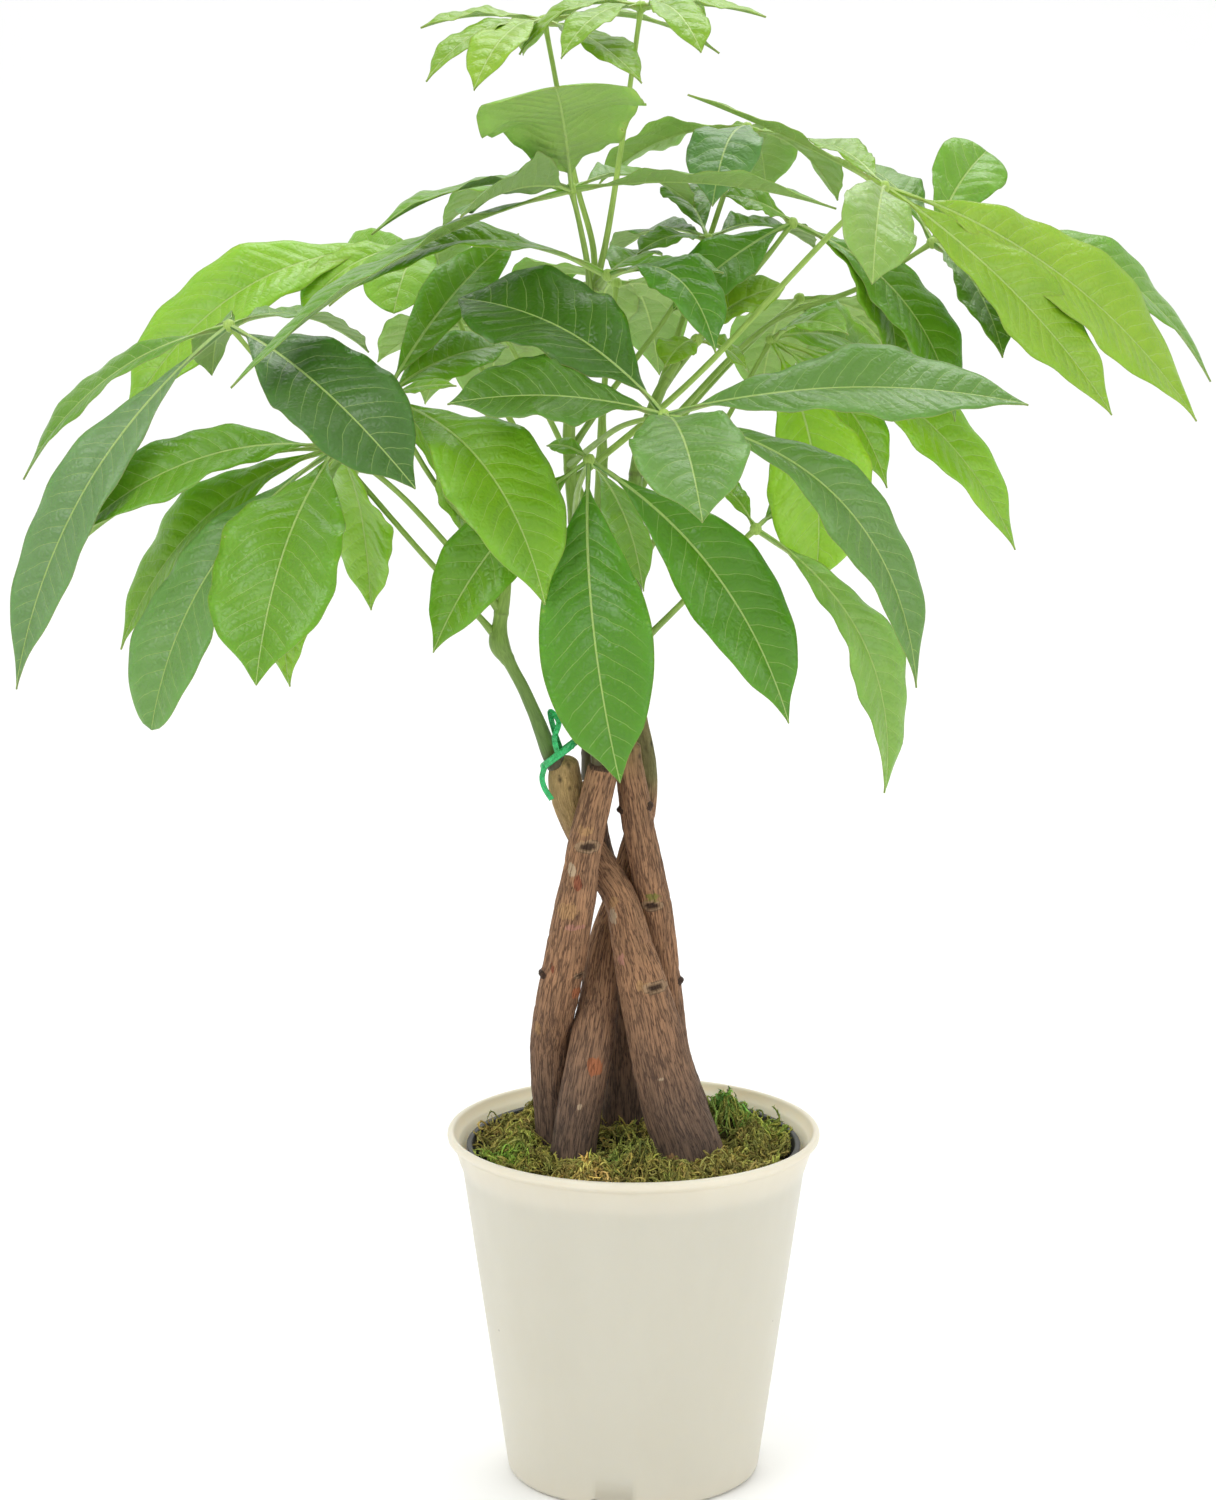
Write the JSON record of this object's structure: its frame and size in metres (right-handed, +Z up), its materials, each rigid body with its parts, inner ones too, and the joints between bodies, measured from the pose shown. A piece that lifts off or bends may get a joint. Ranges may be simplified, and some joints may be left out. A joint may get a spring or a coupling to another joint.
{
  "type": "potted money tree",
  "caption": "House plant with a braided trunk and fans of long leaflets on thin petioles, planted in a dark grow pot that stands in a tapered cream plastic pot with a rolled lip.",
  "frame": {"origin": "centre of the circle that the outer pot's foot stands on", "axes": "+Z up, -Y towards the side that faces the viewer in the picture, +X to the viewer's right"},
  "size_m": [0.4106, 0.2789, 0.5135],
  "materials": {
    "cream_plastic": "satin",
    "dark_plastic": "matte",
    "soil": "matte",
    "moss": "matte",
    "bark": "matte",
    "green_stem": "satin",
    "green_foil": "gloss",
    "dark_leaf": "satin",
    "leaf": "satin",
    "young_leaf": "satin"
  },
  "bodies": {
    "root": {"outer_pot": "cream_plastic", "grow_pot": "dark_plastic", "root_ball": "soil", "moss": "moss", "trunk_front_left": "bark", "trunk_left": "bark", "trunk_front": "bark", "trunk_right": "bark", "trunk_back": "bark", "shoot_left": "green_stem", "shoot_centre": "green_stem", "shoot_right": "green_stem", "shoot_back": "green_stem", "foil_tie": "green_foil", "leaf_top_broad": "leaf", "leaf_top_young_right": "young_leaf", "leaf_top_young_left": "young_leaf", "leaf_right_bright": "young_leaf", "leaf_right_behind": "dark_leaf", "leaf_front_right": "dark_leaf", "leaf_front_centre": "leaf", "leaf_low_right": "leaf", "leaf_far_left": "dark_leaf", "leaf_back_left": "leaf", "leaf_low_left": "leaf", "leaf_mid_left": "leaf", "leaf_mid_back": "dark_leaf", "leaf_back_right": "leaf", "leaf_high_back": "dark_leaf", "leaf_mid_crown": "leaf", "leaf_high_right": "leaf", "leaf_young_inner": "young_leaf", "leaf_rear_left": "leaf", "leaf_rear_right": "leaf", "leaf_rear_centre": "leaf"}
  },
  "joints": []
}
